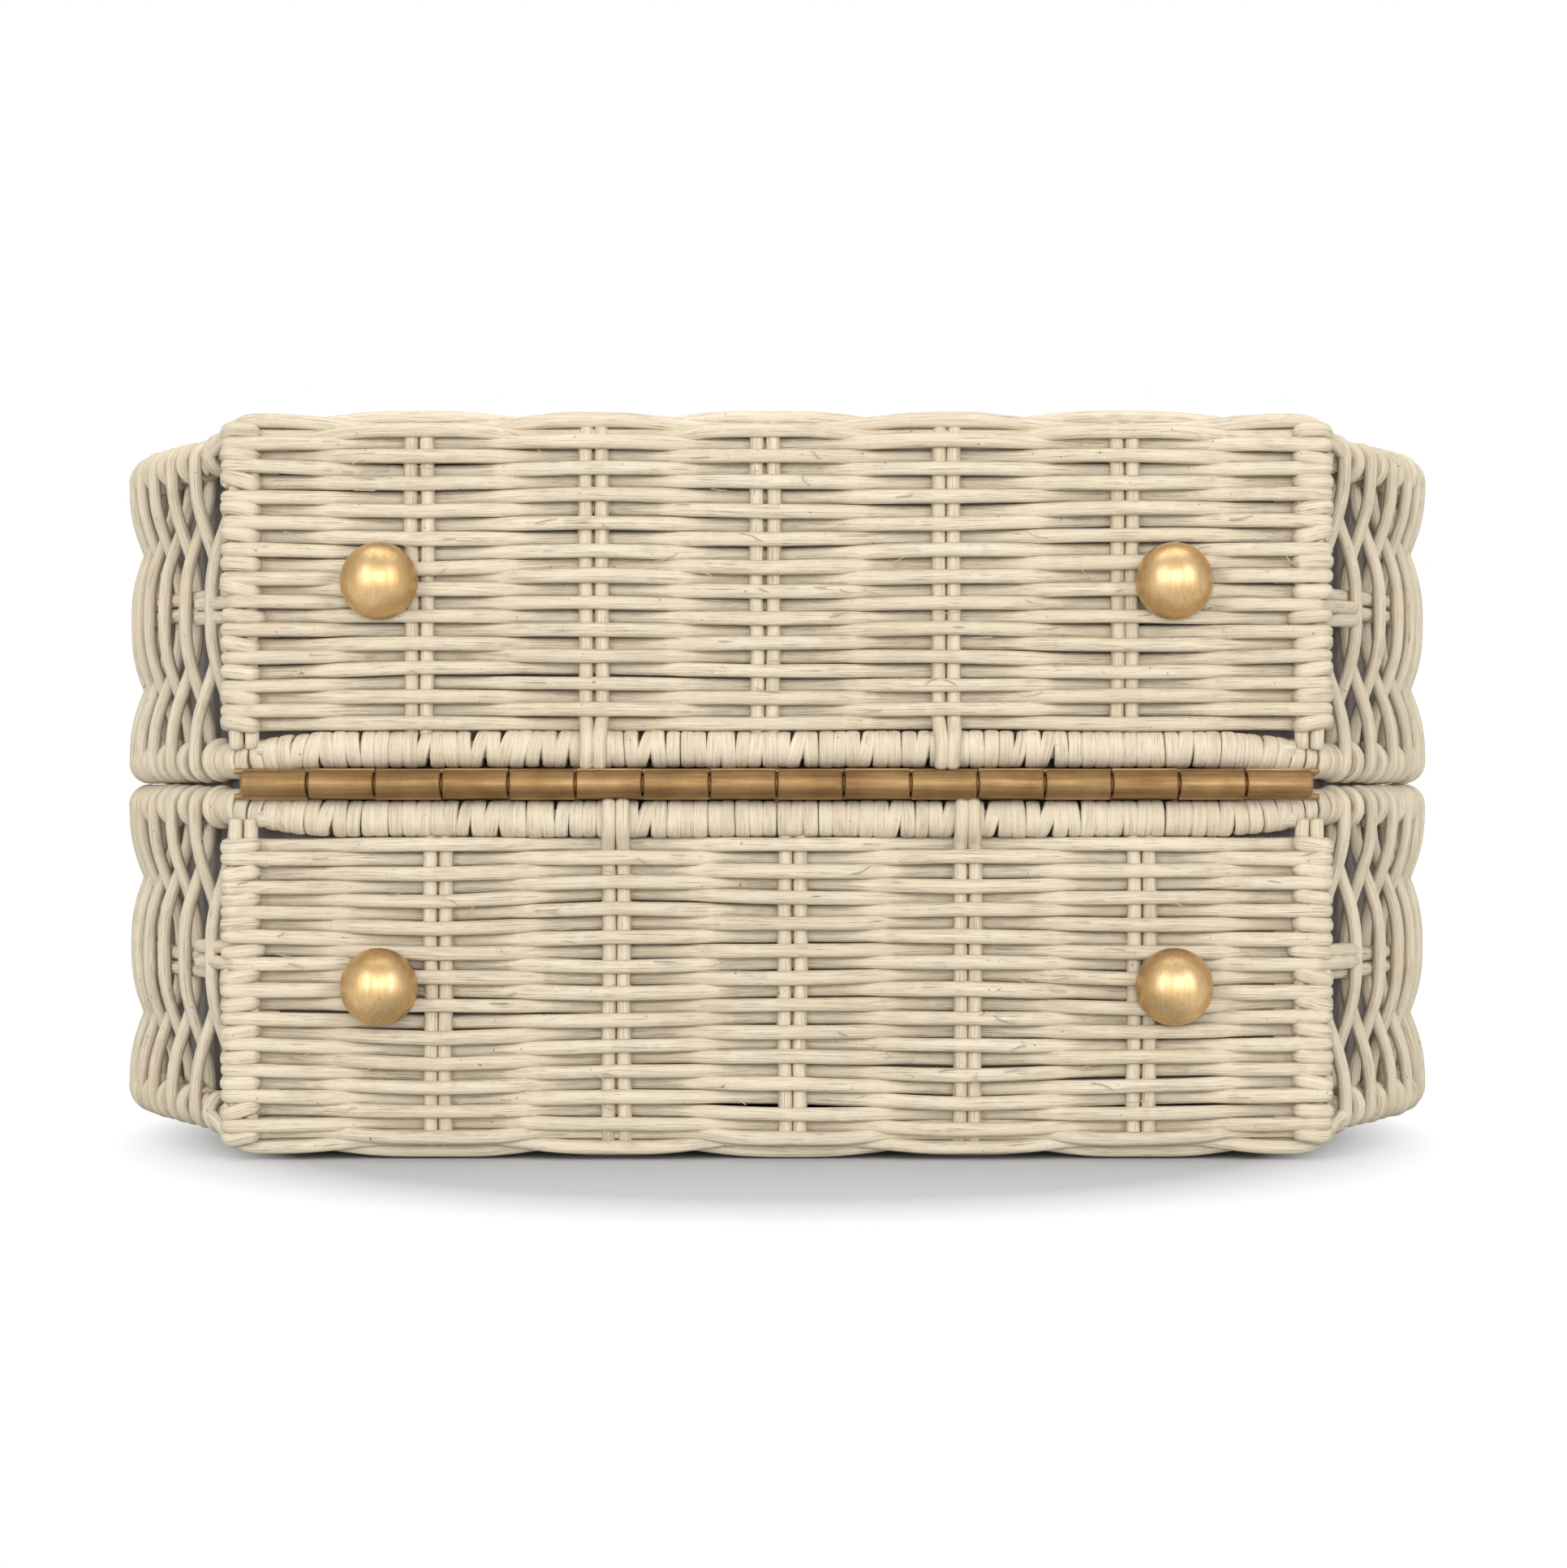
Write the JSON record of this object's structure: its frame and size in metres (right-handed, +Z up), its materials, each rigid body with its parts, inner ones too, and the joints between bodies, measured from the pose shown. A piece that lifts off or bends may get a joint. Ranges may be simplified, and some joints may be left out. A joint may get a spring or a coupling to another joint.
{
  "type": "woven clamshell handbag",
  "caption": "Rigid clamshell handbag woven from painted reed over cane, with two shells on a long base hinge, dome feet, arched handles and a magnetic catch.",
  "frame": {"origin": "middle of the bag's bounding box in plan, on the surface that its lower face lies on", "axes": "+X along the base hinge, +Y from the base towards the handles, +Z up through the thickness"},
  "size_m": [0.2737, 0.2654, 0.1436],
  "materials": {
    "reed": "cream paint rubbed on round reed, satin",
    "cane": "cream paint on cane, satin",
    "brass": "brushed, slightly aged",
    "steel": "plain",
    "lining": "lilac grey cotton"
  },
  "bodies": {
    "lower_shell": {"lower_rim_hoop": "cane", "lower_rim_rail": "cane", "lower_rim_binding": "reed", "lower_face_hoop": "cane", "lower_stakes": "cane", "lower_base_weave": "reed", "lower_left_wall_weave": "reed", "lower_right_wall_weave": "reed", "lower_top_wall_weave": "reed", "lower_wall_canes": "cane", "lower_face_weave": "reed", "lower_lining": "lining", "lower_hinge_leaf": "brass", "lower_hinge_screws": "brass", "lower_left_foot": "brass", "lower_right_foot": "brass", "lower_foot_washers": "brass", "lower_foot_nuts": "steel", "lower_handle_core": "cane", "lower_handle_wrap": "reed", "lower_left_ferrule": "brass", "lower_right_ferrule": "brass", "lower_handle_washers": "brass", "lower_handle_nuts": "steel", "lower_catch": "steel", "hinge_pin": "brass"},
    "upper_shell": {"upper_rim_hoop": "cane", "upper_rim_rail": "cane", "upper_rim_binding": "reed", "upper_face_hoop": "cane", "upper_stakes": "cane", "upper_base_weave": "reed", "upper_left_wall_weave": "reed", "upper_right_wall_weave": "reed", "upper_top_wall_weave": "reed", "upper_wall_canes": "cane", "upper_face_weave": "reed", "upper_lining": "lining", "upper_hinge_leaf": "brass", "upper_hinge_screws": "brass", "upper_left_foot": "brass", "upper_right_foot": "brass", "upper_foot_washers": "brass", "upper_foot_nuts": "steel", "upper_handle_core": "cane", "upper_handle_wrap": "reed", "upper_left_ferrule": "brass", "upper_right_ferrule": "brass", "upper_handle_washers": "brass", "upper_handle_nuts": "steel", "upper_catch": "steel", "magnet": "steel"}
  },
  "joints": [
    {"name": "shell_hinge", "type": "hinge", "parent": "lower_shell", "child": "upper_shell", "pos_m": [0, -0.12579, 0.0718], "axis": [1, 0, 0], "range_deg": [0, 150]}
  ]
}
